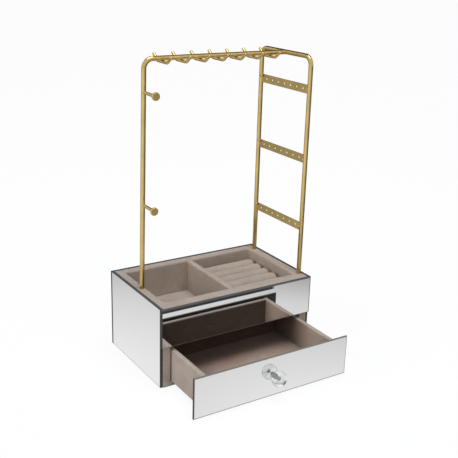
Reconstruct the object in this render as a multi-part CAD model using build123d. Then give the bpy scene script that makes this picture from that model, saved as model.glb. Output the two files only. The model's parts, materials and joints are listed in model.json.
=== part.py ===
from build123d import *
import math
import os

# Jewellery holder: a mirrored case with a velvet tray and one drawer, under a gilt wire stand.
# Millimetres. The origin is at floor level under the middle of the case; the front faces -Y.

# Case, outside sizes over the glass
case_width = 240.0
case_depth = 154.0
case_height = 115.0
felt_thickness = 2.0
felt_inset = 2.0

# Glass panes and the boards behind them
glass = 4.0
front_glass = 3.0
glass_bevel = 0.8
upper_front_bevel = 1.8
board = 11.0
rail_depth = 17.0
base_thickness = 6.0
tray_board_thickness = 4.0
front_edge_gap = 0.4

# Velvet tray
velvet = 1.2
velvet_round = 0.9
rim_drop = 0.3
tray_depth = 46.7
pad_thickness = 2.0
divider_thickness = 8.6
divider_round = 3.0
divider_drop = 0.3

# Ring rolls
roll_diameter = 19.6
roll_pitch = 20.0
roll_drop = 10.5
roll_flat = 6.6
roll_wall_gap = 5.3
roll_divider_gap = 0.4
roll_end_round = 4.5

# Drawer
rail_below_board = 2.5
drawer_reveal = 1.0
drawer_open = 85.0
drawer_side_gap = 1.8
drawer_back_gap = 1.5
drawer_under_gap = 0.3
drawer_wall = 6.5
drawer_wall_round = 2.0
drawer_lip = 4.0
drawer_floor_thickness = 3.0
drawer_pad_thickness = 4.0

# Knob and its screw
knob_radius = 10.4
knob_center_reach = 10.6
knob_above_middle = 1.0
knob_face_radius = 8.5
knob_neck_radius = 5.0
knob_face_round = 0.5
screw_radius = 2.0
screw_head_radius = 3.8
screw_head_height = 2.2
screw_slot_width = 1.0
screw_slot_depth = 1.0
screw_bite = 7.0
screw_clearance = 0.05

# Stand of round rod
rod_diameter = 6.4
rod_bend = 12.0
bar_height = 420.0
left_post_inset = 11.1
left_post_lean = 4.9
right_post_inset = 8.0
frame_span = 113.6
socket_depth = 25.0
socket_clearance = 0.1
weld_gap = 1.5

# Earring strips, by their distance below the top bar
strip_drops = {"low": 235.5, "middle": 138.0, "high": 43.0}
strip_width = 11.8
strip_thickness = 1.0
strip_hole_diameter = 3.0
strip_hole_pitch = 14.2
strip_hole_margin = 8.0

# Necklace hooks, each one wire bent up at both ends and seated under the bar
hook_wire = 3.8
hook_first = 30.7
hook_pitch = 27.2
hook_last_margin = 26.0
hook_seat = 0.4
hook_low_reach = 13.0
hook_reach = 24.7
hook_tip_rise = 4.0
hook_bend = 5.0
hook_end_round = 1.3

# Bracelet pegs, by their distance below the top bar
peg_drops = {"low": 187.5, "high": 41.0}
peg_diameter = 4.3
peg_reach = 32.0
peg_head_diameter = 10.6
peg_head_thickness = 2.6
peg_head_round = 0.8

# Planes shared by the pieces
side_out = case_width / 2
front_out = -case_depth / 2
back_out = case_depth / 2
side_glass_in = side_out - glass
front_glass_in = front_out + front_glass
back_glass_in = back_out - glass
side_board_in = side_glass_in - board
back_board_in = back_glass_in - board
rail_in = front_glass_in + rail_depth
side_front_edge = front_glass_in + front_edge_gap
base_top = felt_thickness + base_thickness
rim_top = case_height - rim_drop
board_top = rim_top - velvet
tray_floor_top = rim_top - tray_depth
tray_board_top = tray_floor_top - pad_thickness
tray_board_bottom = tray_board_top - tray_board_thickness
opening_side = side_board_in - velvet
opening_front = rail_in + velvet
opening_back = back_board_in - velvet
upper_front_bottom = tray_board_bottom - rail_below_board
drawer_front_top = upper_front_bottom - drawer_reveal
rod_radius = rod_diameter / 2
left_post_x = -side_out + left_post_inset
right_post_x = side_out - right_post_inset
socket_bottom = board_top - socket_depth


def block(x0, x1, y0, y1, z0, z1):
    """A box between two corners."""
    middle = Pos((x0 + x1) / 2, (y0 + y1) / 2, (z0 + z1) / 2)
    return middle * Box(x1 - x0, y1 - y0, z1 - z0)


def rod_between(start, end, radius):
    """A cylinder from one point to another."""
    run = Vector(*end) - Vector(*start)
    middle = (Vector(*start) + Vector(*end)) / 2
    return Plane(origin=middle, z_dir=run) * Cylinder(radius, run.length)


def rod_along_y(x, z, y0, y1, radius):
    """A cylinder along Y from y0 to y1."""
    return Pos(x, (y0 + y1) / 2, z) * Rot(90, 0, 0) * Cylinder(radius, y1 - y0)


def bevelled_pane(x0, x1, y0, y1, z0, z1, outer_axis, outer_side, bevel=glass_bevel):
    """A glass pane with polished bevels round its outer face."""
    pane = block(x0, x1, y0, y1, z0, z1)
    face = pane.faces().sort_by(outer_axis)[outer_side]
    return chamfer(face.edges(), bevel)


def bent_rod(points, bends, radius):
    """Round rod swept along straight runs with tangent bends."""
    path = FilletPolyline(*points, radius=bends)
    start = Plane(origin=path @ 0, z_dir=path % 0)
    return sweep(start * Circle(radius), path=path)


def make_panes():
    pane_bottom = felt_thickness
    sides = {}
    for name, sign in (("left", -1), ("right", 1)):
        x0, x1 = sorted((sign * side_glass_in, sign * side_out))
        sides["mirror_" + name] = bevelled_pane(
            x0, x1, side_front_edge, back_glass_in, pane_bottom, case_height, Axis.X, 0 if sign < 0 else -1)
    sides["mirror_back"] = bevelled_pane(
        -side_out, side_out, back_glass_in, back_out, pane_bottom, case_height, Axis.Y, -1)
    sides["mirror_front_upper"] = bevelled_pane(
        -side_out, side_out, front_out, front_glass_in, upper_front_bottom, case_height, Axis.Y, 0,
        upper_front_bevel)
    return sides


def left_post_at(z):
    """Where the left post is at height z: from the rim up it leans inward a little."""
    return left_post_x + left_post_lean * (z - board_top) / (bar_height - board_top)


def make_sockets(side):
    """The holes for the posts that stand in one side wall, up to the top of the case."""
    if side < 0:
        feet = [(left_post_at(socket_bottom), left_post_at(case_height), 0.0)]
    else:
        feet = [(right_post_x, right_post_x, y) for y in (-frame_span / 2, frame_span / 2)]
    return [rod_between((x0, y, socket_bottom), (x1, y, case_height), rod_radius + socket_clearance)
            for x0, x1, y in feet]


def make_boards():
    boards = {}
    for name, sign in (("left", -1), ("right", 1)):
        x0, x1 = sorted((sign * side_board_in, sign * side_glass_in))
        wall = block(x0, x1, side_front_edge, back_glass_in, base_top, board_top)
        boards["side_wall_" + name] = wall - make_sockets(sign)
    boards["back_wall"] = block(
        -side_board_in, side_board_in, back_board_in, back_glass_in, base_top, board_top)
    boards["front_rail"] = block(
        -side_board_in, side_board_in, front_glass_in, rail_in, upper_front_bottom, board_top)
    boards["base_board"] = block(
        -side_glass_in, side_glass_in, side_front_edge, back_glass_in, felt_thickness, base_top)
    boards["tray_board"] = block(
        -side_board_in, side_board_in, rail_in, back_board_in, tray_board_bottom, tray_board_top)
    return boards


def make_base_felt():
    """The felt sheet that the case stands on, a little smaller than the base board."""
    side = side_glass_in - felt_inset
    return block(-side, side, side_front_edge + felt_inset, back_glass_in - felt_inset, 0, felt_thickness)


def make_tray_lining():
    """One velvet lining: a rim over the boards and a skirt down to the tray board."""
    rim = block(-side_glass_in, side_glass_in, front_glass_in, back_glass_in, board_top, rim_top)
    skirt = block(-side_board_in, side_board_in, rail_in, back_board_in, tray_board_top, board_top)
    opening = block(-opening_side, opening_side, opening_front, opening_back, tray_board_top, rim_top)
    lining = rim + skirt - opening
    lining = fillet(lining.edges().group_by(Axis.Z)[-1], velvet_round)
    return lining - make_sockets(-1) - make_sockets(1)


def make_tray_divider():
    half = divider_thickness / 2
    wall = block(-half, half, opening_front, opening_back, tray_board_top, rim_top - divider_drop)
    top_edges = wall.edges().filter_by(Axis.Y).group_by(Axis.Z)[-1]
    return fillet(top_edges, divider_round)


def make_ring_holder():
    """A foam base with half-round rolls, which ends short of the right wall."""
    half = divider_thickness / 2
    center_z = rim_top - roll_drop - roll_diameter / 2
    flat_z = center_z - roll_flat
    pieces = {"ring_base": block(half, opening_side, opening_front, opening_back, tray_board_top, flat_z)}
    depth = opening_back - opening_front
    count = int(depth // roll_pitch)
    middle_y = (opening_front + opening_back) / 2
    x0 = half + roll_divider_gap
    x1 = opening_side - roll_wall_gap
    for k in range(count):
        y = middle_y + ((count - 1) / 2 - k) * roll_pitch
        roll = Pos((x0 + x1) / 2, y, center_z) * Rot(0, 90, 0) * Cylinder(roll_diameter / 2, x1 - x0)
        roll = fillet(roll.edges().filter_by(GeomType.CIRCLE), roll_end_round)
        roll -= block(x0, x1, y - roll_diameter, y + roll_diameter, flat_z - roll_diameter, flat_z)
        pieces[f"ring_roll_{k + 1}"] = roll
    return pieces


def make_earring_frame():
    """The inverted U of rod at the right, with its two posts in the right wall."""
    half = frame_span / 2
    points = [(right_post_x, half, socket_bottom), (right_post_x, half, bar_height),
              (right_post_x, -half, bar_height), (right_post_x, -half, socket_bottom)]
    return bent_rod(points, rod_bend, rod_radius)


def make_earring_strips(frame):
    """Flat strips coped round both posts, each with a row of holes."""
    strips = {}
    clear = frame_span - rod_diameter - 2 * strip_hole_margin
    count = int(clear // strip_hole_pitch) + 1
    holes = [Pos(0, (k - (count - 1) / 2) * strip_hole_pitch, 0) * Rot(0, 90, 0)
             * Cylinder(strip_hole_diameter / 2, 2 * strip_thickness) for k in range(count)]
    for name, drop in strip_drops.items():
        strip = Pos(right_post_x, 0, bar_height - drop) * (Box(strip_thickness, frame_span, strip_width) - holes)
        strips["earring_strip_" + name] = strip - frame
    return strips


def make_hook(x, bar):
    """One hook: level under the bar, rising outward at both ends, and notched where it meets the bar."""
    wire_radius = hook_wire / 2
    low_z = bar_height - rod_radius - wire_radius + hook_seat
    tip_z = bar_height + hook_tip_rise
    points = [(x, hook_reach, tip_z), (x, hook_low_reach, low_z),
              (x, -hook_low_reach, low_z), (x, -hook_reach, tip_z)]
    hook = bent_rod(points, hook_bend, wire_radius)
    ends = hook.edges().filter_by(GeomType.CIRCLE).sort_by(Axis.Y)
    return fillet([ends[0], ends[-1]], hook_end_round) - bar


def make_hooks(bar):
    first = left_post_x + hook_first
    room = right_post_x - hook_last_margin - first
    count = int(room // hook_pitch) + 1
    return {f"necklace_hook_{k + 1}": make_hook(first + k * hook_pitch, bar) for k in range(count)}


def make_hook_frame(frame):
    """The left post and top bar, coped to the right frame."""
    points = [(left_post_at(socket_bottom), 0, socket_bottom), (left_post_at(bar_height), 0, bar_height),
              (right_post_x - weld_gap, 0, bar_height)]
    return bent_rod(points, rod_bend, rod_radius) - frame


def make_pegs(bar):
    """Pegs that stand out from the left post toward the front, each with a round head."""
    pegs = {}
    for name, drop in peg_drops.items():
        z = bar_height - drop
        x = left_post_at(z)
        shaft = rod_along_y(x, z, -peg_reach, 0, peg_diameter / 2)
        head = rod_along_y(x, z, -peg_reach - peg_head_thickness, -peg_reach, peg_head_diameter / 2)
        head = fillet(head.edges().filter_by(GeomType.CIRCLE).sort_by(Axis.Y)[0], peg_head_round)
        pegs["bracelet_peg_" + name] = shaft + head - bar
    return pegs


def make_drawer():
    """The drawer as it stands when closed."""
    side_half = side_board_in - drawer_side_gap
    inner_half = side_half - drawer_wall
    y_front = front_glass_in
    y_back = back_board_in - drawer_back_gap
    bottom = base_top + drawer_under_gap
    top = drawer_front_top - drawer_lip
    floor_top = bottom + drawer_floor_thickness
    knob_z = (felt_thickness + drawer_front_top) / 2 + knob_above_middle
    pieces = {}
    for name, sign in (("left", -1), ("right", 1)):
        x0, x1 = sorted((sign * inner_half, sign * side_half))
        side = block(x0, x1, y_front, y_back, bottom, top)
        pieces["drawer_side_" + name] = fillet(side.edges().filter_by(Axis.Y).group_by(Axis.Z)[-1], drawer_wall_round)
    front_wall = block(-inner_half, inner_half, y_front, y_front + drawer_wall, bottom, top)
    back_wall = block(-inner_half, inner_half, y_back - drawer_wall, y_back, bottom, top)
    screw_hole = rod_along_y(0, knob_z, front_out, y_front + drawer_wall, screw_radius + screw_clearance)
    front_wall = fillet(front_wall.edges().filter_by(Axis.X).group_by(Axis.Z)[-1], drawer_wall_round)
    pieces["drawer_front_wall"] = front_wall - screw_hole
    pieces["drawer_back_wall"] = fillet(back_wall.edges().filter_by(Axis.X).group_by(Axis.Z)[-1], drawer_wall_round)
    y0 = y_front + drawer_wall
    y1 = y_back - drawer_wall
    pieces["drawer_floor"] = block(-inner_half, inner_half, y0, y1, bottom, floor_top)
    pieces["drawer_pad"] = block(-inner_half, inner_half, y0, y1, floor_top, floor_top + drawer_pad_thickness)
    pane = bevelled_pane(
        -side_out, side_out, front_out, front_glass_in, felt_thickness, drawer_front_top, Axis.Y, 0)
    pieces["drawer_front_mirror"] = pane - screw_hole
    pieces["knob"] = make_knob(knob_z)
    pieces["knob_screw"] = make_knob_screw(knob_z, y_front + drawer_wall)
    return pieces


def make_knob(z):
    """A clear ball with a flat face and a short neck, turned about Y."""
    neck_reach = knob_center_reach - math.sqrt(knob_radius ** 2 - knob_neck_radius ** 2)
    face_reach = knob_center_reach + math.sqrt(knob_radius ** 2 - knob_face_radius ** 2)
    outline = Polyline((0, 0), (knob_neck_radius, 0), (knob_neck_radius, neck_reach))
    outline += ThreePointArc((knob_neck_radius, neck_reach), (knob_radius, knob_center_reach),
                             (knob_face_radius, face_reach))
    outline += Polyline((knob_face_radius, face_reach), (0, face_reach), (0, 0))
    ball = revolve(make_face(outline), Axis.Y)
    rim = ball.edges().filter_by(GeomType.CIRCLE).sort_by(Axis.Y)[-1]
    ball = fillet(rim, knob_face_round)
    ball -= Pos(0, screw_bite / 2, 0) * Rot(90, 0, 0) * Cylinder(screw_radius + screw_clearance, screw_bite)
    return Pos(0, front_out, z) * Rot(0, 0, 180) * ball


def make_knob_screw(z, head_y):
    """A slotted screw from inside the drawer into the knob."""
    shank = rod_along_y(0, z, front_out - screw_bite, head_y, screw_radius)
    head = rod_along_y(0, z, head_y, head_y + screw_head_height, screw_head_radius)
    slot_y = head_y + screw_head_height
    slot = block(-screw_head_radius, screw_head_radius, slot_y - screw_slot_depth, slot_y,
                 z - screw_slot_width / 2, z + screw_slot_width / 2)
    return shank + head - slot


def make_part():
    frame = make_earring_frame()
    bar = make_hook_frame(frame)
    half = divider_thickness / 2
    part = {}
    part.update(make_panes())
    part.update(make_boards())
    part["base_felt"] = make_base_felt()
    part["tray_lining"] = make_tray_lining()
    part["tray_divider"] = make_tray_divider()
    part["compartment_pad"] = block(
        -opening_side, -half, opening_front, opening_back, tray_board_top, tray_floor_top)
    part.update(make_ring_holder())
    part["earring_frame"] = frame
    part["hook_frame"] = bar
    part.update(make_earring_strips(frame))
    part.update(make_hooks(bar))
    part.update(make_pegs(bar))
    opened = Pos(0, -drawer_open, 0)
    part.update({name: opened * piece for name, piece in make_drawer().items()})
    return part


os.makedirs("parts", exist_ok=True)
for node, solid in make_part().items():
    export_step(solid, f"parts/{node}.step")
    print(node, round(solid.volume, 1))
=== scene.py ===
import json
import math

import bpy
from mathutils import Matrix, Vector, noise


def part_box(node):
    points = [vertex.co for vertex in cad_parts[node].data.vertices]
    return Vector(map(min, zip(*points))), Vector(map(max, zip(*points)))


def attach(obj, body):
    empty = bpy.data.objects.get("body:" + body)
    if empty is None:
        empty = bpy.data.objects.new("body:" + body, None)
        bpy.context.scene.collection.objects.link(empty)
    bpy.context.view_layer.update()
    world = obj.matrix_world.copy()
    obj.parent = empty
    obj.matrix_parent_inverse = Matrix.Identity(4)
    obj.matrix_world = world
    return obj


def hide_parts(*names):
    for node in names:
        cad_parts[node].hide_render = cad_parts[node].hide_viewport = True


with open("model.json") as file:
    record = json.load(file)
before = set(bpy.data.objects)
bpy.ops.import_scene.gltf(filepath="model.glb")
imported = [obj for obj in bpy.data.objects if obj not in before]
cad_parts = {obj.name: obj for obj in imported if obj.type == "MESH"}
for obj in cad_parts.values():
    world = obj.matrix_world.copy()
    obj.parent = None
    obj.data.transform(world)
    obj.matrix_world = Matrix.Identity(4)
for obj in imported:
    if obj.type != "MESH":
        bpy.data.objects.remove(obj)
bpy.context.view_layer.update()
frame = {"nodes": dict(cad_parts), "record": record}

# Lengths in metres unless a name says otherwise
MM = 0.001

# Directions of the object: its drawer faces FRONT
RIGHT = (1.0, 0.0, 0.0)
LEFT = (-1.0, 0.0, 0.0)
BACK = (0.0, 1.0, 0.0)
FRONT = (0.0, -1.0, 0.0)
UP = (0.0, 0.0, 1.0)

# Camera, worked out from the photograph's vanishing lines: angles in radians, focal length in its pixels
PHOTO_SIZE = 458
CAMERA_PLACE = Vector((-0.5596, -0.9116, 0.5527))
CAMERA_YAW = -0.5725
CAMERA_PITCH = -0.3332
CAMERA_ROLL = 0.0295
CAMERA_FOCAL = 813.6
CAMERA_CLIP_END = 50.0
SENSOR_WIDTH_MM = 36.0


def srgb(red, green, blue):
    """A display colour from 0 to 255 as a linear colour."""
    values = []
    for value in (red, green, blue):
        share = value / 255
        values.append(share / 12.92 if share <= 0.04045 else ((share + 0.055) / 1.055) ** 2.4)
    return (*values, 1.0)


def even(value):
    """A neutral colour, given as a linear value."""
    return (value, value, value, 1.0)


def shade(color, factor):
    """The colour made darker or lighter."""
    return tuple(min(1.0, channel * factor) for channel in color[:3]) + (1.0,)


WHITE = even(1.0)

# Velvet, and the painted light and shade that its colour is multiplied by inside the drawer
VELVET_COLOR = srgb(174, 160, 148)
PAD_LIT_FRONT_TONE = (1.08, 0.945, 0.88, 1.0)
PAD_SHADED_BACK_TONE = (0.55, 0.42, 0.39, 1.0)
# Painted shade on the drawer's end walls, painted light and shade on its side walls
FRONT_WALL_SHADE_TONE = (0.42, 0.41, 0.4, 1.0)
BACK_WALL_SHADE_TONE = (0.16, 0.12, 0.11, 1.0)
SIDE_WALL_LIT_FRONT_TONE = (1.14, 1.1, 1.08, 1.0)
SIDE_WALL_SHADED_BACK_TONE = (0.42, 0.35, 0.33, 1.0)

# Where the painted light and shade change along Y, in the drawer's place at rest
PAD_FRONT_TO_BACK = (-100 * MM, -50 * MM)
SIDE_WALL_FRONT_TO_BACK = (-108 * MM, -76 * MM)

# Where the painted shade gets darker still, and to what share: at the pad's back and sides, at the walls'
# front corners
PAD_DEEP_END = (-70 * MM, -30 * MM)
PAD_DEEP_SHARE = 0.55
PAD_LEFT_END = (-95 * MM, -40 * MM)
PAD_LEFT_SHARE = 0.5
PAD_RIGHT_END = (50 * MM, 97 * MM)
PAD_RIGHT_SHARE = 0.6
SIDE_WALL_CORNER = (-152 * MM, -128 * MM)
SIDE_WALL_CORNER_SHARE = 0.72

# Tones of the ground glass edges by the way that they face, with painted reflection and shade on their
# tops and undersides
GLASS_EDGE = srgb(66, 66, 64)
GLASS_UNDERSIDE_SHADE = srgb(26, 26, 25)
UPPER_FRONT_UNDERSIDE_HIGHLIGHT = srgb(165, 162, 156)
CASE_GLASS_TOP_REFLECTION = srgb(84, 83, 83)
DRAWER_GLASS_TOP_REFLECTION = srgb(128, 125, 119)

# Outward directions of the mirrored panes
PANES = {
    "mirror_left": LEFT, "mirror_right": RIGHT, "mirror_back": BACK,
    "mirror_front_upper": FRONT, "drawer_front_mirror": FRONT}

# Height of the painted shade along the foot of a pane: a dark line where the face takes the edge's tone
# instead of the mirror
DARK_FOOT = 1.35 * MM

# Widths of the dark lines at the right ends of the front panes, with the bevel
UPPER_FRONT_END = 2.6 * MM
DRAWER_FRONT_END = 1.4 * MM

# The painted reflection at the top of the upper front pane, a dark line: how far down it reaches, and
# where it fades out along X
TOP_LINE_DROP = 5.4 * MM
TOP_LINE_FADE = (52 * MM, 57 * MM)

# Crystal: clear in the middle, with painted shade toward its rim, and plainly see-through after this many
# bounces
CRYSTAL_CLEAR = (0.97, 0.98, 0.985, 1.0)
CRYSTAL_RIM_SHADE = (0.06, 0.062, 0.065, 1.0)
CRYSTAL_BOUNCES = 3.5

# The knob's radii, from the ball to the blind hole for its screw
BALL = 10.4 * MM
NECK = 5.0 * MM
FLAT_FACE = 8.5 * MM
HOLE = 2.05 * MM

# How far in front of the pane the knob starts, the ball's middle lies and the hole ends
KNOB_GAP = 0.12 * MM
BALL_MIDDLE = 10.6 * MM
HOLE_DEPTH = 7.2 * MM

# Roundings of the knob's edges
NECK_ROUND = 0.3 * MM
NECK_BULGE = 0.08 * MM
FACE_ROUND = 0.5 * MM
FACE_ROUND_WIDTH = 0.45 * MM
HOLE_ROUND = 0.2 * MM
HOLE_MOUTH = 0.1 * MM

# Steps of the pads and ring rolls: along a rounded end, and along the middle
PAD_STEPS = (6, 44)
ROLL_STEPS = (9, 40)
ROLL_POINTS_AROUND = 40

# Rounded ends of the ring rolls: their length, and how much thinner the roll gets there
ROLL_END = 5.2 * MM
ROLL_NARROWING = 0.62 * ROLL_END

# The tray's lining: rounding of its rim outside and inside, and of its corners at both
RIM_ROUND_OUT = 1.0 * MM
RIM_ROUND_IN = 2.4 * MM
RIM_FOOT_DROP = 1.2 * MM
LINING_CORNER_OUT = 0.4 * MM
LINING_CORNER_IN = 2.0 * MM

# The posts' middles, inside the box of the frames, and the dents that they press into the lining
POST_INSET = 3 * MM
DENT_DEPTH = 0.7 * MM
DENT_REACH = 1.6 * MM

# Beads of filler where a pierced strip meets its post: how far from there, and their radii
BACK_BEAD = (Vector((-2.4, -0.8, -1.8)) * MM, Vector((1.9, 2.5, 2.3)) * MM)
FRONT_BEAD = (Vector((-1.2, 1.0, -1.0)) * MM, Vector((1.2, 1.6, 3.0)) * MM)

# Soft light from the studio: where it comes from, its strength and its tint
OVERHEAD_TINT = (0.95, 1.0, 1.06)
SIDE_TINT = (1.05, 1.0, 0.96)
SOFT_LIGHTS = (
    ((0.0, -0.13, 0.99), 6.2, OVERHEAD_TINT),
    ((-0.866, 0.0, 0.5), 2.8, SIDE_TINT),
    ((0.0, -0.866, 0.5), 3.3, SIDE_TINT),
    ((-0.978, 0.0, 0.208), 4.2, SIDE_TINT))
SOFT_LIGHT_FOCUS = 26.0

# One lamp high above the front
LAMP_PLACE = Vector((0.0, -0.15, 1.7))
LAMP_TARGET = Vector((0.0, -0.03, 0.12))
LAMP_SIZE = 0.9
LAMP_POWER = 8.8

# The floor: its size, its colour, and what the camera sees of its own light and of the light on it
FLOOR_SIZE = 16.0
FLOOR_COLOR = even(0.8)
FLOOR_GLOW = 1.02
FLOOR_GLOW_SHARE = 0.9

# What polished metal and glass see of the floor: close by it goes by distance, further off by heading
NEAR_FLOOR_REACH = (0.13, 0.45)
NEAR_FLOOR_LEVEL = (0.92, 0.58)
NEAR_TO_FAR_REACH = (0.3, 0.6)
LIGHT_HEADING = (-0.93, -0.37, 0.0)
FAR_FLOOR_LEVELS = ((0.0, 0.14), (0.33, 0.16), (0.41, 0.33), (0.6, 0.46), (0.85, 0.9), (1.0, 1.0))

# What they see of the studio: light but for a back wall and a patch of ceiling, grayer through glass
STUDIO_LEVEL = 0.8
UNLIT_LEVEL = 0.08
BACK_WALL_HEADING = (0.565, 0.825, 0.0)
BACK_WALL_EDGE = (0.5, 0.75)
BACK_WALL_TOP = (0.4, 0.6)
PATCH_DIRECTION = (0.352, 0.553, 0.754)
PATCH_EDGE = (0.7, 0.84)
THROUGH_HEIGHT = (0.3, 0.9)
THROUGH_LEVEL = (0.95, 0.35)

# Ranges: the whole one, one that holds most of a noise, and one over which a face turns to a direction
UNIT = (0.0, 1.0)
NOISE_SPAN = (0.3, 0.7)
FACING_SPAN = (0.3, 0.9)

# How much of a face's normal points in a direction: where it faces squarely that way, and where it leans
SQUARELY = 0.9
LEANING = 0.5


class Nodes:
    """A short way to write a node tree."""

    def __init__(self, tree):
        self.tree = tree
        self.tree.nodes.clear()

    def add(self, kind, inputs=None, **settings):
        node = self.tree.nodes.new(kind)
        for name, value in settings.items():
            setattr(node, name, value)
        for name, value in (inputs or {}).items():
            self.put(node, name, value)
        return node

    def put(self, node, name, value):
        socket = node.inputs[name]
        if isinstance(value, bpy.types.NodeSocket):
            self.tree.links.new(value, socket)
        else:
            socket.default_value = value

    def math(self, operation, first, second=0.0):
        return self.add("ShaderNodeMath", {0: first, 1: second}, operation=operation).outputs[0]

    def mix(self, factor, first, second, blend="MIX"):
        node = self.add("ShaderNodeMix", data_type="RGBA", blend_type=blend)
        self.put(node, 0, factor)
        self.put(node, 6, first)
        self.put(node, 7, second)
        return node.outputs[2]

    def tinted(self, color, tint):
        return self.mix(1.0, color, tint, "MULTIPLY")

    def gray(self, value):
        return self.add("ShaderNodeCombineColor", {0: value, 1: value, 2: value}).outputs[0]

    def noise(self, place, scale, detail, roughness=0.5, distortion=0.0):
        inputs = {"Vector": place, "Scale": scale, "Detail": detail, "Roughness": roughness,
                  "Distortion": distortion}
        return self.add("ShaderNodeTexNoise", inputs).outputs[0]

    def spread(self, value, source, target=UNIT):
        """Carries a value from one range over to another, and holds it at both ends."""
        inputs = {0: value, 1: source[0], 2: source[1], 3: target[0], 4: target[1]}
        return self.add("ShaderNodeMapRange", inputs).outputs[0]

    def dot(self, vector, direction):
        node = self.add("ShaderNodeVectorMath", {0: vector, 1: direction}, operation="DOT_PRODUCT")
        return node.outputs["Value"]

    def place(self):
        return self.add("ShaderNodeTexCoord").outputs["Object"]

    def normal(self):
        return self.add("ShaderNodeNewGeometry").outputs["True Normal"]

    def light_path(self, name):
        return self.add("ShaderNodeLightPath").outputs[name]

    def mirrored(self):
        """Whether a polished surface or glass sees this, rather than the camera or a dull surface."""
        glossy = self.light_path("Is Glossy Ray")
        return self.math("MAXIMUM", glossy, self.light_path("Is Transmission Ray"))

    def bump(self, height, strength, distance, before=None):
        inputs = {"Strength": strength, "Distance": distance, "Height": height}
        if before is not None:
            inputs["Normal"] = before
        return self.add("ShaderNodeBump", inputs).outputs[0]

    def surface(self, inputs):
        return self.add("ShaderNodeBsdfPrincipled", inputs).outputs[0]

    def diffuse(self, color):
        return self.add("ShaderNodeBsdfDiffuse", {"Color": color}).outputs[0]

    def emission(self, color, strength):
        return self.add("ShaderNodeEmission", {"Color": color, "Strength": strength}).outputs[0]

    def background(self, color, strength):
        return self.add("ShaderNodeBackground", {"Color": color, "Strength": strength}).outputs[0]

    def mix_shaders(self, factor, first, second):
        return self.add("ShaderNodeMixShader", {0: factor, 1: first, 2: second}).outputs[0]


def new_material(name):
    material = bpy.data.materials.new(name)
    material.use_nodes = True
    return material, Nodes(material.node_tree)


def finish_material(nodes, shader):
    nodes.add("ShaderNodeOutputMaterial", {"Surface": shader})


def painted_pad_shading(nodes, place):
    """The drawer's pad with painted light and shade: paler toward the front, darker and warmer further in,
    darker along the sides.
    """
    across = nodes.dot(place, RIGHT)
    inward = nodes.dot(place, BACK)
    left = nodes.spread(across, PAD_LEFT_END, (PAD_LEFT_SHARE, 1.0))
    right = nodes.spread(across, PAD_RIGHT_END, (1.0, PAD_RIGHT_SHARE))
    deep = nodes.spread(inward, PAD_DEEP_END, (1.0, PAD_DEEP_SHARE))
    level = nodes.math("MULTIPLY", nodes.math("MULTIPLY", left, right), deep)
    tone = nodes.mix(nodes.spread(inward, PAD_FRONT_TO_BACK), PAD_LIT_FRONT_TONE, PAD_SHADED_BACK_TONE)
    return nodes.tinted(tone, nodes.gray(level))


def dark_inside(tone):
    """An end wall of the drawer with painted shade: its faces toward the front and back are darker."""
    def painted_shading(nodes, place):
        facing = nodes.math("ABSOLUTE", nodes.dot(nodes.normal(), BACK))
        return nodes.mix(nodes.spread(facing, FACING_SPAN), WHITE, tone)
    return painted_shading


def darker_to_back(inward):
    """A side wall of the drawer with painted light and shade: its inner face is lighter toward the front,
    darker toward the back and in the front corner.
    """
    def painted_shading(nodes, place):
        along = nodes.dot(place, BACK)
        share = nodes.spread(along, SIDE_WALL_FRONT_TO_BACK)
        tone = nodes.mix(share, SIDE_WALL_LIT_FRONT_TONE, SIDE_WALL_SHADED_BACK_TONE)
        corner = nodes.spread(along, SIDE_WALL_CORNER, (SIDE_WALL_CORNER_SHARE, 1.0))
        facing = nodes.spread(nodes.dot(nodes.normal(), inward), FACING_SPAN)
        return nodes.mix(facing, WHITE, nodes.tinted(tone, nodes.gray(corner)))
    return painted_shading


def velvet_material(name, painted_shading=None):
    """Short pile: fine fibres, brushed patches and a soft sheen, with painted light and shade where a tone
    is given.
    """
    material, nodes = new_material(name)
    place = nodes.place()
    patches = nodes.noise(place, scale=34.0, detail=3.0, roughness=0.6, distortion=0.8)
    flecks = nodes.noise(place, scale=620.0, detail=3.0, roughness=0.7)
    fibres = nodes.noise(place, scale=2600.0, detail=2.0, roughness=0.7)
    brushed_down = shade(VELVET_COLOR, 0.9)
    brushed_up = shade(VELVET_COLOR, 1.08)
    base = nodes.mix(nodes.spread(patches, NOISE_SPAN), brushed_down, brushed_up)
    base = nodes.tinted(base, nodes.gray(nodes.spread(flecks, NOISE_SPAN, (0.84, 1.1))))
    # Painted light and shade, where a tone is given
    if painted_shading:
        base = nodes.tinted(base, painted_shading(nodes, place))
    bump = nodes.bump(fibres, strength=0.3, distance=0.4 * MM)
    bump = nodes.bump(patches, strength=0.2, distance=0.8 * MM, before=bump)
    finish_material(nodes, nodes.surface({
        "Base Color": base, "Roughness": 0.95, "Normal": bump, "Specular IOR Level": 0.12,
        "Sheen Weight": 0.4, "Sheen Roughness": 0.45, "Sheen Tint": (0.96, 0.96, 0.97, 1.0)}))
    return material


def dark_foot(low):
    """Painted shade: a dark line along the foot of a pane."""
    def dull(nodes, place):
        return nodes.math("LESS_THAN", nodes.dot(place, UP), low.z + DARK_FOOT)
    return dull


def dark_end(high, width):
    """A dark line along the right end of a front pane."""
    def dull(nodes, place):
        return nodes.math("GREATER_THAN", nodes.dot(place, RIGHT), high.x - width)
    return dull


def painted_top_reflection(high):
    """A painted dark reflection along the top of the upper front pane, over the part that mirrors the
    drawer.
    """
    def dull(nodes, place):
        upper = nodes.math("GREATER_THAN", nodes.dot(place, UP), high.z - TOP_LINE_DROP)
        left = nodes.spread(nodes.dot(place, RIGHT), TOP_LINE_FADE, (1.0, 0.0))
        return nodes.math("MULTIPLY", upper, left)
    return dull


def either(first, second):
    """Dull where one or the other is."""
    def dull(nodes, place):
        return nodes.math("MAXIMUM", first(nodes, place), second(nodes, place))
    return dull


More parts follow.
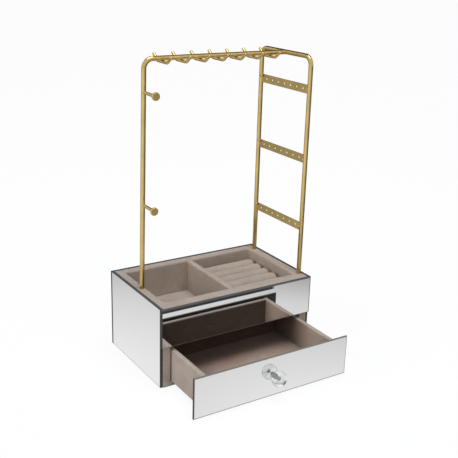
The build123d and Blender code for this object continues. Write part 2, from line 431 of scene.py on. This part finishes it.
def silvered_face(nodes, place, smears):
    """The mirror itself, with faint waves in the glass."""
    waves = nodes.noise(place, scale=9.0, detail=1.0)
    return nodes.surface({
        "Base Color": even(0.86), "Metallic": 1.0,
        "Roughness": nodes.spread(smears, (0.35, 0.75), (0.01, 0.05)),
        "Normal": nodes.bump(waves, strength=0.02, distance=1.0 * MM)})


def ground_edge(nodes, place, normal, painted_top_tone, painted_under_tone):
    """Ground edges and bevels, with painted reflection and shade by the way that they face."""
    upright = nodes.dot(normal, UP)
    upward = nodes.math("GREATER_THAN", upright, LEANING)
    under = nodes.math("LESS_THAN", upright, -LEANING)
    grind = nodes.noise(place, scale=1400.0, detail=2.0)
    tone = nodes.mix(upward, GLASS_EDGE, painted_top_tone)
    tone = nodes.mix(under, tone, painted_under_tone)
    tone = nodes.tinted(tone, nodes.gray(nodes.spread(grind, NOISE_SPAN, (0.75, 1.15))))
    return nodes.surface({
        "Base Color": tone, "Roughness": 0.45, "Specular IOR Level": 0.2,
        "Normal": nodes.bump(grind, strength=0.1, distance=0.2 * MM)})


def back_paint(nodes, smears):
    tone = nodes.mix(smears, (0.012, 0.012, 0.013, 1.0), (0.03, 0.029, 0.028, 1.0))
    return nodes.surface({"Base Color": tone, "Roughness": 0.55})


def mirror_material(name, outward, painted_top_tone, painted_under_tone, dull):
    """Silvered glass: a mirror on the outer face but for its dark lines, ground edges and bevels with
    painted tones, black paint behind.
    """
    material, nodes = new_material(name)
    place = nodes.place()
    normal = nodes.normal()
    smears = nodes.noise(place, scale=34.0, detail=3.0, roughness=0.6, distortion=1.2)
    facing = nodes.dot(normal, outward)
    # Where the lines are dark the outer face takes the edge's tone: painted shade at a foot, a painted
    # reflection at the upper front pane's top
    shows_mirror = nodes.math("SUBTRACT", 1.0, dull(nodes, place))
    front = nodes.math("MULTIPLY", nodes.math("GREATER_THAN", facing, SQUARELY), shows_mirror)
    back = nodes.math("LESS_THAN", facing, -SQUARELY)
    edge = ground_edge(nodes, place, normal, painted_top_tone, painted_under_tone)
    shader = nodes.mix_shaders(back, edge, back_paint(nodes, smears))
    shader = nodes.mix_shaders(front, shader, silvered_face(nodes, place, smears))
    # Dull surfaces see a plain dark pane, so it throws no bright patches on them
    shader = nodes.mix_shaders(nodes.light_path("Is Diffuse Ray"), shader, nodes.diffuse(even(0.12)))
    finish_material(nodes, shader)
    return material


def pane_material(name):
    """The finish of one mirrored pane, with the dark lines on its face: painted shade along its foot, a
    dark line at a front pane's right end, a painted reflection along the upper front pane's top.
    """
    low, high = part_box(name)
    painted_top_tone, painted_under_tone, dull = CASE_GLASS_TOP_REFLECTION, GLASS_UNDERSIDE_SHADE, dark_foot(low)
    if name == "mirror_front_upper":
        painted_under_tone = UPPER_FRONT_UNDERSIDE_HIGHLIGHT
        dull = either(painted_top_reflection(high), dark_end(high, UPPER_FRONT_END))
    if name == "drawer_front_mirror":
        painted_top_tone = DRAWER_GLASS_TOP_REFLECTION
        dull = either(dark_foot(low), dark_end(high, DRAWER_FRONT_END))
    return mirror_material("silvered_" + name, PANES[name], painted_top_tone, painted_under_tone, dull)


def gilt_material():
    """Lacquered gilt plating on drawn rod."""
    material, nodes = new_material("gilt_metal")
    place = nodes.place()
    grain = nodes.noise(place, scale=900.0, detail=2.0)
    haze = nodes.noise(place, scale=45.0, detail=3.0, roughness=0.6)
    tone = nodes.mix(nodes.spread(haze, (0.35, 0.7)), (0.6, 0.43, 0.15, 1.0), (0.72, 0.53, 0.2, 1.0))
    finish_material(nodes, nodes.surface({
        "Base Color": tone, "Metallic": 1.0, "Roughness": nodes.spread(haze, (0.3, 0.75), (0.14, 0.22)),
        "Normal": nodes.bump(grain, strength=0.01, distance=0.1 * MM),
        "Coat Weight": 0.25, "Coat IOR": 1.5, "Coat Roughness": 0.06}))
    return material


def crystal_material():
    """Clear polished crystal with faint marks and painted shade toward its rim."""
    material, nodes = new_material("crystal")
    marks = nodes.noise(nodes.place(), scale=700.0, detail=2.0)
    slant = nodes.add("ShaderNodeLayerWeight", {"Blend": 0.5}).outputs["Facing"]
    # Painted shade: darker where the surface is seen edge-on
    rim = nodes.spread(slant, (0.5, 0.85))
    glass = nodes.surface({
        "Base Color": nodes.mix(rim, CRYSTAL_CLEAR, CRYSTAL_RIM_SHADE),
        "Roughness": nodes.spread(marks, NOISE_SPAN, (0.0, 0.02)), "IOR": 1.45, "Transmission Weight": 1.0,
        "Normal": nodes.bump(marks, strength=0.01, distance=0.1 * MM)})
    clear = nodes.add("ShaderNodeBsdfTransparent", {"Color": CRYSTAL_CLEAR}).outputs[0]
    spent = nodes.math("GREATER_THAN", nodes.light_path("Ray Depth"), CRYSTAL_BOUNCES)
    finish_material(nodes, nodes.mix_shaders(spent, glass, clear))
    return material


def grained_material(name, tones, roughness, scale, metallic=0.0, bump_strength=0.2):
    """Plated, papered or felted surfaces with a fine grain between two tones."""
    material, nodes = new_material(name)
    grain = nodes.noise(nodes.place(), scale, detail=3.0, roughness=0.6)
    finish_material(nodes, nodes.surface({
        "Base Color": nodes.mix(nodes.spread(grain, NOISE_SPAN), *tones),
        "Roughness": nodes.spread(grain, NOISE_SPAN, (roughness, roughness + 0.12)), "Metallic": metallic,
        "Normal": nodes.bump(grain, bump_strength, 0.3 * MM)}))
    return material


def make_materials():
    """The finishes by the record's slot, or by the node or part that has one of its own."""
    velvet = velvet_material("velvet")
    materials = {"velvet": velvet, "velvet_board": velvet}
    for part, painted_shading in (
            ("drawer_pad", painted_pad_shading),
            ("drawer_front_wall", dark_inside(FRONT_WALL_SHADE_TONE)),
            ("drawer_back_wall", dark_inside(BACK_WALL_SHADE_TONE)),
            ("drawer_side_left", darker_to_back(RIGHT)),
            ("drawer_side_right", darker_to_back(LEFT))):
        materials["velvet_" + part] = velvet_material("velvet_" + part, painted_shading)
    materials["gilt_metal"] = gilt_material()
    materials["crystal"] = crystal_material()
    materials["base_paper"] = grained_material(
        "base_paper", (srgb(172, 168, 154), srgb(186, 182, 168)), roughness=0.7, scale=700.0)
    materials["case_board"] = grained_material(
        "case_board", ((0.028, 0.024, 0.021, 1.0), (0.05, 0.044, 0.039, 1.0)), roughness=0.7, scale=500.0)
    materials["dark_felt"] = grained_material(
        "dark_felt", ((0.02, 0.019, 0.018, 1.0), (0.05, 0.047, 0.044, 1.0)), roughness=0.85, scale=1500.0)
    materials["screw_steel"] = grained_material(
        "screw_steel", ((0.2, 0.18, 0.165, 1.0), (0.26, 0.235, 0.215, 1.0)),
        roughness=0.5, scale=1800.0, metallic=1.0, bump_strength=0.05)
    materials["knob_lining"] = grained_material(
        "knob_lining", (even(0.3), even(0.42)),
        roughness=0.35, scale=900.0, metallic=0.6, bump_strength=0.05)
    return materials


def paint_nodes(materials):
    """Gives every CAD node that stays its finish."""
    slots = {entry["node"]: entry["material_slot"] for entry in frame["record"]["subparts"]}
    for name, piece in frame["nodes"].items():
        if name in PANES:
            material = pane_material(name)
        elif name == "base_board":
            material = materials["base_paper"]
        elif "velvet_" + name in materials:
            material = materials["velvet_" + name]
        else:
            material = materials[slots[name]]
        piece.data.materials.clear()
        piece.data.materials.append(material)


def add_mesh(name, points, faces, material):
    mesh = bpy.data.meshes.new(name)
    mesh.from_pydata([tuple(point) for point in points], [], faces)
    mesh.polygons.foreach_set("use_smooth", [True] * len(mesh.polygons))
    mesh.materials.append(material)
    piece = bpy.data.objects.new(name, mesh)
    bpy.context.scene.collection.objects.link(piece)
    return piece


def grid_faces(rows, columns, closed=False):
    """Quads over a grid of points written row by row, where closed rows join end to end."""
    faces = []
    for i in range(rows - 1):
        for j in range(columns if closed else columns - 1):
            after = (j + 1) % columns
            faces.append((i * columns + j, i * columns + after,
                          (i + 1) * columns + after, (i + 1) * columns + j))
    return faces


def flipped(face):
    return tuple(reversed(face))


def wobble(point, size, amount, seed):
    """A smooth random offset, the same in every run."""
    shift = Vector((seed, 2.7 * seed, -seed))
    return noise.noise(Vector(point) / size + shift) * amount


def stops(low, high, edge, steps):
    """Positions from low to high, in steps that get shorter toward both ends."""
    edge_steps, middle_steps = steps
    crowding = 1.3
    near = [edge * (k / edge_steps) ** crowding for k in range(edge_steps + 1)]
    middle = high - low - 2 * edge
    places = [low + value for value in near]
    places += [low + edge + middle * k / middle_steps for k in range(1, middle_steps)]
    places += [high - value for value in reversed(near)]
    return places


def round_off(share):
    """How far a rounded edge drops, from 1 at its outer end to 0 where it levels out."""
    return 1 - math.sqrt(max(0.0, 1 - (1 - share) ** 2))


def grid_rim(rows, columns):
    """The outer points of a grid in order."""
    rim = [i * columns for i in range(rows)]
    rim += [(rows - 1) * columns + j for j in range(1, columns)]
    rim += [i * columns + columns - 1 for i in range(rows - 2, -1, -1)]
    rim += list(range(columns - 2, 0, -1))
    return rim


def soft_pad(name, node, material, edge, swell, seed):
    """A foam pad under velvet: rolled top edges, a slight swell and uneven nap."""
    low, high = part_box(node)
    xs = stops(low.x, high.x, edge, PAD_STEPS)
    ys = stops(low.y, high.y, edge, PAD_STEPS)
    points = []
    for x in xs:
        for y in ys:
            reach = min(x - low.x, high.x - x, y - low.y, high.y - y)
            share = min(1.0, reach / edge)
            across = math.sin(math.pi * (x - low.x) / (high.x - low.x))
            along = math.sin(math.pi * (y - low.y) / (high.y - low.y))
            z = high.z - edge * round_off(share)
            z += swell * math.sqrt(max(0.0, across * along)) * share
            z += wobble((x, y, 0), size=22 * MM, amount=0.25 * MM, seed=seed) * share
            points.append((x, y, z))
    faces = [flipped(face) for face in grid_faces(len(xs), len(ys))]
    rim = grid_rim(len(xs), len(ys))
    foot = range(len(points), len(points) + len(rim))
    points += [(points[k][0], points[k][1], low.z) for k in rim]
    for k in range(len(rim)):
        after = (k + 1) % len(rim)
        faces.append((rim[k], foot[k], foot[after], rim[after]))
    faces.append(flipped(foot))
    return add_mesh(name, points, faces, material)


def close_roll_end(points, faces, ring, center, x, at_right):
    """Gathers the velvet at a roll's end over two smaller rings and a cap."""
    rings = [ring]
    for share in (0.8, 0.5):
        first = len(points)
        for index in ring:
            _, y, z = points[index]
            points.append((x, center[0] + (y - center[0]) * share, center[1] + (z - center[1]) * share))
        rings.append(list(range(first, len(points))))
    for inner, outer in zip(rings[1:], rings):
        for k in range(len(ring)):
            after = (k + 1) % len(ring)
            face = (outer[k], outer[after], inner[after], inner[k])
            faces.append(flipped(face) if at_right else face)
    cap = rings[-1]
    faces.append(flipped(cap) if at_right else tuple(cap))


def ring_roll(name, node, material, seed):
    """A velvet roll with gathered, rounded ends and a flat underside."""
    low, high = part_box(node)
    radius = (high.y - low.y) / 2
    center_y = (low.y + high.y) / 2
    center_z = high.z - radius
    flat = low.z - center_z
    start = math.asin(flat / radius)
    around = ROLL_POINTS_AROUND
    xs = stops(low.x, high.x, ROLL_END, ROLL_STEPS)
    points = []
    for x in xs:
        share = min(1.0, min(x - low.x, high.x - x) / ROLL_END)
        narrow = radius - ROLL_NARROWING * round_off(share)
        for k in range(around):
            angle = start + (math.pi - 2 * start) * k / (around - 1)
            uneven = wobble((x, angle * radius, 0), size=16 * MM, amount=0.3 * MM, seed=seed)
            reach = narrow + uneven * share
            z = max(flat, reach * math.sin(angle))
            points.append((x, center_y + reach * math.cos(angle), center_z + z))
    rows = len(xs)
    faces = grid_faces(rows, around)
    for i in range(rows - 1):
        faces.append((i * around, (i + 1) * around, (i + 2) * around - 1, (i + 1) * around - 1))
    # The ends gather toward a point a little below the middle
    center = (center_y, center_z + 0.2 * flat)
    close_roll_end(points, faces, list(range(around)), center, low.x, at_right=False)
    last = (rows - 1) * around
    close_roll_end(points, faces, list(range(last, last + around)), center, high.x, at_right=True)
    return add_mesh(name, points, faces, material)


def rectangle_loop(x0, x1, y0, y1, corner, per_side=56, per_corner=6):
    """Points round a rectangle with rounded corners, anticlockwise from above."""
    points = []
    corners = [(x1 - corner, y0 + corner, -90), (x1 - corner, y1 - corner, 0),
               (x0 + corner, y1 - corner, 90), (x0 + corner, y0 + corner, 180)]
    for k, (center_x, center_y, turn) in enumerate(corners):
        for step in range(per_corner + 1):
            angle = math.radians(turn + 90 * step / per_corner)
            out = Vector((math.cos(angle), math.sin(angle))) * corner
            points.append(Vector((center_x, center_y)) + out)
        next_x, next_y, next_turn = corners[(k + 1) % len(corners)]
        angle = math.radians(next_turn)
        goal = Vector((next_x + corner * math.cos(angle), next_y + corner * math.sin(angle)))
        begin = points[-1]
        points.extend(begin.lerp(goal, step / per_side) for step in range(1, per_side))
    return points


def rounded_edge(radius, degrees):
    """How far an edge has dropped and moved aside, at 0 degrees on its side and at 90 on its top."""
    angle = math.radians(degrees)
    return radius * (1 - math.sin(angle)), radius * (1 - math.cos(angle))


def pressed_in(point, posts):
    """A point on top of the rim, with uneven nap and pressed down beside the posts."""
    x, y, z = point
    z += wobble(point, size=18 * MM, amount=0.22 * MM, seed=5.0)
    for post_x, post_y in posts:
        away = math.hypot(x - post_x, y - post_y)
        z -= DENT_DEPTH * math.exp(-max(0.0, away - POST_INSET) / DENT_REACH)
    return (x, y, z)


def uneven_wall(point):
    """A point on the inside of the lining, a little out of line."""
    x, y, z = point
    x += wobble((x, y, z), size=20 * MM, amount=0.25 * MM, seed=6.0)
    y += wobble((x, y, z), size=20 * MM, amount=0.25 * MM, seed=7.0)
    return (x, y, z)


def velvet_lining(material, posts):
    """The tray's velvet: rolled over the rim, down the walls and pressed in round the posts."""
    low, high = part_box("tray_lining")
    pad_low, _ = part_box("compartment_pad")
    _, ring_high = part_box("ring_base")
    outer = (low.x, high.x, low.y, high.y)
    inner = (pad_low.x, ring_high.x, pad_low.y, ring_high.y)
    wall = high.z - low.z - RIM_ROUND_IN

    def loop(share, drop=0.0, shift=0.0):
        """A loop at a share of the way from the rim's outer line to its inner one."""
        x0, x1, y0, y1 = (begin + (goal - begin) * share for begin, goal in zip(outer, inner))
        corner = LINING_CORNER_OUT + (LINING_CORNER_IN - LINING_CORNER_OUT) * share
        around = rectangle_loop(x0 + shift, x1 - shift, y0 + shift, y1 - shift, corner)
        return [(point.x, point.y, high.z - drop) for point in around]

    def outer_edge(degrees):
        drop, shift = rounded_edge(RIM_ROUND_OUT, degrees)
        return loop(0.0, drop, shift)

    def inner_edge(degrees):
        drop, shift = rounded_edge(RIM_ROUND_IN, degrees)
        return loop(1.0, drop, -shift)

    side = [loop(0.0, RIM_FOOT_DROP)]
    side += [outer_edge(degrees) for degrees in (0, 30, 60)]
    top = [outer_edge(90)]
    top += [loop(share) for share in (0.2, 0.35, 0.5, 0.65)]
    top += [inner_edge(degrees) for degrees in (90, 72)]
    inside = [inner_edge(degrees) for degrees in (54, 36, 18, 0)]
    inside += [loop(1.0, RIM_ROUND_IN + wall * share) for share in (0.12, 0.25, 0.4, 0.55, 0.7, 0.85, 1.0)]

    points = [point for around in side for point in around]
    points += [pressed_in(point, posts) for around in top for point in around]
    points += [uneven_wall(point) for around in inside for point in around]
    rows = len(side) + len(top) + len(inside)
    faces = grid_faces(rows, len(side[0]), closed=True)
    return add_mesh("tray_velvet", points, faces, material)


def lathe(name, profile, center, steps, material):
    """Turns a profile of (radius, reach) about the line through center along -Y."""
    points = []
    for radius, reach in profile:
        for k in range(steps):
            angle = 2 * math.pi * k / steps
            points.append((center.x + radius * math.cos(angle), center.y - reach,
                           center.z + radius * math.sin(angle)))
    faces = grid_faces(len(profile), steps, closed=True)
    last = (len(profile) - 1) * steps
    faces.append(flipped(range(steps)))
    faces.append(tuple(range(last, last + steps)))
    return add_mesh(name, points, faces, material)


def knob_profile():
    """The knob's outline as (radius, reach), from the end of its hole round to its flat face."""
    inner_cap, front_cap = 0.4 * MM, 0.5 * MM
    profile = [
        (inner_cap, HOLE_DEPTH), (HOLE - HOLE_ROUND, HOLE_DEPTH), (HOLE, HOLE_DEPTH - HOLE_ROUND),
        (HOLE, KNOB_GAP + HOLE_MOUTH), (HOLE + HOLE_MOUTH, KNOB_GAP), (NECK - NECK_ROUND, KNOB_GAP),
        (NECK - NECK_BULGE, KNOB_GAP + NECK_BULGE), (NECK, KNOB_GAP + NECK_ROUND)]
    steps, short_of_face = 48, math.radians(2)
    start = -math.acos(NECK / BALL)
    finish = math.acos(FLAT_FACE / BALL) - short_of_face
    for k in range(steps + 1):
        angle = start + (finish - start) * k / steps
        profile.append((BALL * math.cos(angle), BALL_MIDDLE + BALL * math.sin(angle)))
    front = BALL_MIDDLE + math.sqrt(BALL ** 2 - FLAT_FACE ** 2)
    for degrees in (15, 40, 65, 90):
        angle = math.radians(degrees)
        profile.append((FLAT_FACE - FACE_ROUND + FACE_ROUND_WIDTH * math.cos(angle),
                        front - FACE_ROUND * (1 - math.sin(angle))))
    profile += [(share * FLAT_FACE, front) for share in (0.7, 0.35)]
    profile.append((front_cap, front))
    return profile


def crystal_knob(material, lining):
    """The ball, its flat face and short neck, with the lined blind hole for the screw."""
    low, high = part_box("knob")
    center = Vector(((low.x + high.x) / 2, high.y, (low.z + high.z) / 2))
    knob = lathe("knob_crystal", knob_profile(), center, 96, material)
    knob.data.materials.append(lining)
    for polygon in knob.data.polygons:
        depth = center.y - polygon.center.y
        away = math.hypot(polygon.center.x - center.x, polygon.center.z - center.z)
        if away < HOLE and depth < HOLE_DEPTH + HOLE_MOUTH:
            polygon.material_index = 1
    return knob


def weld_bead(name, place, size, material, seed):
    """A small uneven bead of filler where a strip and a rod are joined."""
    rings, steps, pole_gap = 9, 16, 0.02
    bulge, frequency = 0.28, 1.6
    points = []
    for i in range(rings + 1):
        polar = math.pi * (i + pole_gap) / (rings + 2 * pole_gap)
        for k in range(steps):
            angle = 2 * math.pi * k / steps
            flat = math.sin(polar)
            unit = Vector((flat * math.cos(angle), flat * math.sin(angle), math.cos(polar)))
            swell = 1 + bulge * noise.noise(unit * frequency + Vector((seed, seed, seed)))
            points.append(place + Vector([unit[axis] * size[axis] * swell for axis in range(3)]))
    faces = [flipped(face) for face in grid_faces(rings + 1, steps, closed=True)]
    faces.append(tuple(range(steps)))
    faces.append(flipped(range(rings * steps, (rings + 1) * steps)))
    return add_mesh(name, points, faces, material)


def post_places():
    """Where the three posts stand on the rim."""
    frame_low, frame_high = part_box("earring_frame")
    hook_low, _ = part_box("hook_frame")
    return [(hook_low.x + POST_INSET, 0.0),
            (frame_high.x - POST_INSET, frame_low.y + POST_INSET),
            (frame_high.x - POST_INSET, frame_high.y - POST_INSET)]


def add_soft_pieces(materials):
    """The velvet over the tray, the pads and the ring rolls."""
    velvet = materials["velvet"]
    lining = velvet_lining(velvet, post_places())
    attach(lining, "case")
    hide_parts("tray_lining")

    for node, body, cover, edge, swell, seed in (
            ("compartment_pad", "case", velvet, 0.9 * MM, 0.3 * MM, 1.0),
            ("ring_base", "case", velvet, 2.0 * MM, 0.2 * MM, 2.0),
            ("drawer_pad", "drawer", materials["velvet_drawer_pad"], 1.2 * MM, 0.3 * MM, 3.0)):
        pad = soft_pad(node + "_velvet", node, cover, edge, swell, seed)
        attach(pad, body)
        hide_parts(node)

    rolls = sorted(name for name in frame["nodes"] if name.startswith("ring_roll"))
    for number, node in enumerate(rolls):
        roll = ring_roll(node + "_velvet", node, velvet, seed=11.0 + number)
        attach(roll, "case")
        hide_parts(node)


def add_knob(materials):
    """The crystal knob in place of the plain one."""
    knob = crystal_knob(materials["crystal"], materials["knob_lining"])
    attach(knob, "drawer")
    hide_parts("knob")


def add_weld_beads(materials):
    """Two beads for each pierced strip, at its upper back corner and at its front end."""
    _, frame_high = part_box("earring_frame")
    post_x = frame_high.x - POST_INSET
    for number, name in enumerate(("low", "middle", "high")):
        low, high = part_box("earring_strip_" + name)
        corner = Vector((post_x, high.y, high.z))
        end = Vector((post_x, low.y, (low.z + high.z) / 2))
        for side, place, (offset, size) in (("back", corner, BACK_BEAD), ("front", end, FRONT_BEAD)):
            seed = 3.1 * number + len(side)
            bead = weld_bead(f"weld_{name}_{side}", place + offset, size, materials["gilt_metal"], seed)
            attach(bead, "case")


def add_camera():
    """A camera at the photograph's place and turn, with its focal length."""
    yaw, pitch, roll = CAMERA_YAW, CAMERA_PITCH, CAMERA_ROLL
    ahead = Vector((-math.sin(yaw) * math.cos(pitch), math.cos(yaw) * math.cos(pitch), math.sin(pitch)))
    level_right = Vector((math.cos(yaw), math.sin(yaw), 0.0))
    level_up = level_right.cross(ahead)
    right = math.cos(roll) * level_right + math.sin(roll) * level_up
    up = -math.sin(roll) * level_right + math.cos(roll) * level_up
    camera = bpy.data.objects.new("camera", bpy.data.cameras.new("camera"))
    bpy.context.scene.collection.objects.link(camera)
    camera.data.sensor_width = SENSOR_WIDTH_MM
    camera.data.lens = CAMERA_FOCAL / PHOTO_SIZE * SENSOR_WIDTH_MM
    camera.data.clip_end = CAMERA_CLIP_END
    turn = Matrix((right, up, -ahead)).transposed().to_4x4()
    camera.matrix_world = Matrix.Translation(CAMERA_PLACE) @ turn
    bpy.context.scene.camera = camera


def add_lamp():
    """One soft lamp high above the front."""
    light = bpy.data.lights.new("top", "AREA")
    light.shape = "RECTANGLE"
    light.size = LAMP_SIZE
    light.size_y = LAMP_SIZE
    light.energy = LAMP_POWER
    light.color = OVERHEAD_TINT
    lamp = bpy.data.objects.new("top", light)
    bpy.context.scene.collection.objects.link(lamp)
    lamp.location = LAMP_PLACE
    lamp.rotation_euler = (LAMP_TARGET - LAMP_PLACE).to_track_quat("-Z", "Y").to_euler()


def level_ramp(nodes, value, levels):
    """Neutral levels at positions from 0 to 1."""
    node = nodes.add("ShaderNodeValToRGB", {0: value})
    elements = node.color_ramp.elements
    for element, (position, level) in zip(elements, (levels[0], levels[-1])):
        element.position = position
        element.color = even(level)
    for position, level in levels[1:-1]:
        elements.new(position).color = even(level)
    return node.outputs[0]


def reflected_floor(nodes):
    """The floor in reflections: white close by, darker further off and to the right."""
    place = nodes.add("ShaderNodeNewGeometry").outputs["Position"]
    apart = nodes.add("ShaderNodeSeparateXYZ", {0: place}).outputs
    flat = nodes.add("ShaderNodeCombineXYZ", {0: apart[0], 1: apart[1]}).outputs[0]
    reach = nodes.add("ShaderNodeVectorMath", {0: flat}, operation="LENGTH").outputs["Value"]
    heading = nodes.add("ShaderNodeVectorMath", {0: flat}, operation="NORMALIZE").outputs[0]
    near = nodes.gray(nodes.spread(reach, NEAR_FLOOR_REACH, NEAR_FLOOR_LEVEL))
    side = nodes.spread(nodes.dot(heading, LIGHT_HEADING), (-1.0, 1.0))
    far = level_ramp(nodes, side, FAR_FLOOR_LEVELS)
    return nodes.mix(nodes.spread(reach, NEAR_TO_FAR_REACH), near, far)


def add_floor():
    """A white floor that keeps the object's shadow."""
    bpy.ops.mesh.primitive_plane_add(size=FLOOR_SIZE)
    floor = bpy.context.object
    floor.name = "floor"
    material, nodes = new_material("floor_white")
    lit = nodes.diffuse(FLOOR_COLOR)
    seen = nodes.mix_shaders(FLOOR_GLOW_SHARE, lit, nodes.emission(WHITE, FLOOR_GLOW))
    reflected = nodes.emission(reflected_floor(nodes), 1.0)
    shader = nodes.mix_shaders(nodes.light_path("Is Camera Ray"), lit, seen)
    finish_material(nodes, nodes.mix_shaders(nodes.mirrored(), shader, reflected))
    floor.data.materials.append(material)


def soft_sky(nodes, direction):
    """The light on the object: a few broad sources round it."""
    sky = (0.0, 0.0, 0.0)
    for toward, strength, tint in SOFT_LIGHTS:
        ahead = nodes.math("MAXIMUM", nodes.dot(direction, toward), 0.0)
        level = nodes.math("MULTIPLY", nodes.math("POWER", ahead, SOFT_LIGHT_FOCUS), strength)
        part = nodes.add("ShaderNodeVectorMath", {0: tint, "Scale": level}, operation="SCALE").outputs[0]
        sky = nodes.add("ShaderNodeVectorMath", {0: sky, 1: part}, operation="ADD").outputs[0]
    return sky


def studio_level(nodes, direction):
    """How light the studio is in reflections and through glass."""
    height = nodes.dot(direction, UP)
    behind = nodes.spread(nodes.dot(direction, BACK_WALL_HEADING), BACK_WALL_EDGE)
    low = nodes.spread(height, BACK_WALL_TOP, (1.0, 0.0))
    patch = nodes.spread(nodes.dot(direction, PATCH_DIRECTION), PATCH_EDGE)
    unlit = nodes.math("MAXIMUM", nodes.math("MULTIPLY", behind, low), patch)
    reflected = nodes.spread(unlit, UNIT, (STUDIO_LEVEL, UNLIT_LEVEL))
    through = nodes.spread(height, THROUGH_HEIGHT, THROUGH_LEVEL)
    return nodes.spread(nodes.light_path("Is Transmission Ray"), UNIT, (reflected, through))


def add_world():
    """Soft light for dull surfaces, the studio for polished ones and plain white for the camera."""
    world = bpy.data.worlds.new("studio")
    bpy.context.scene.world = world
    world.use_nodes = True
    nodes = Nodes(world.node_tree)
    direction = nodes.add("ShaderNodeTexCoord").outputs["Generated"]
    sky = nodes.background(soft_sky(nodes, direction), 1.0)
    studio = nodes.background(WHITE, studio_level(nodes, direction))
    backdrop = nodes.background(WHITE, 1.0)
    shader = nodes.mix_shaders(nodes.mirrored(), sky, studio)
    shader = nodes.mix_shaders(nodes.light_path("Is Camera Ray"), shader, backdrop)
    nodes.add("ShaderNodeOutputWorld", {"Surface": shader})


materials = make_materials()
paint_nodes(materials)
add_soft_pieces(materials)
add_knob(materials)
add_weld_beads(materials)
add_camera()
add_floor()
add_world()
add_lamp()
bpy.context.scene.view_settings.view_transform = "Standard"
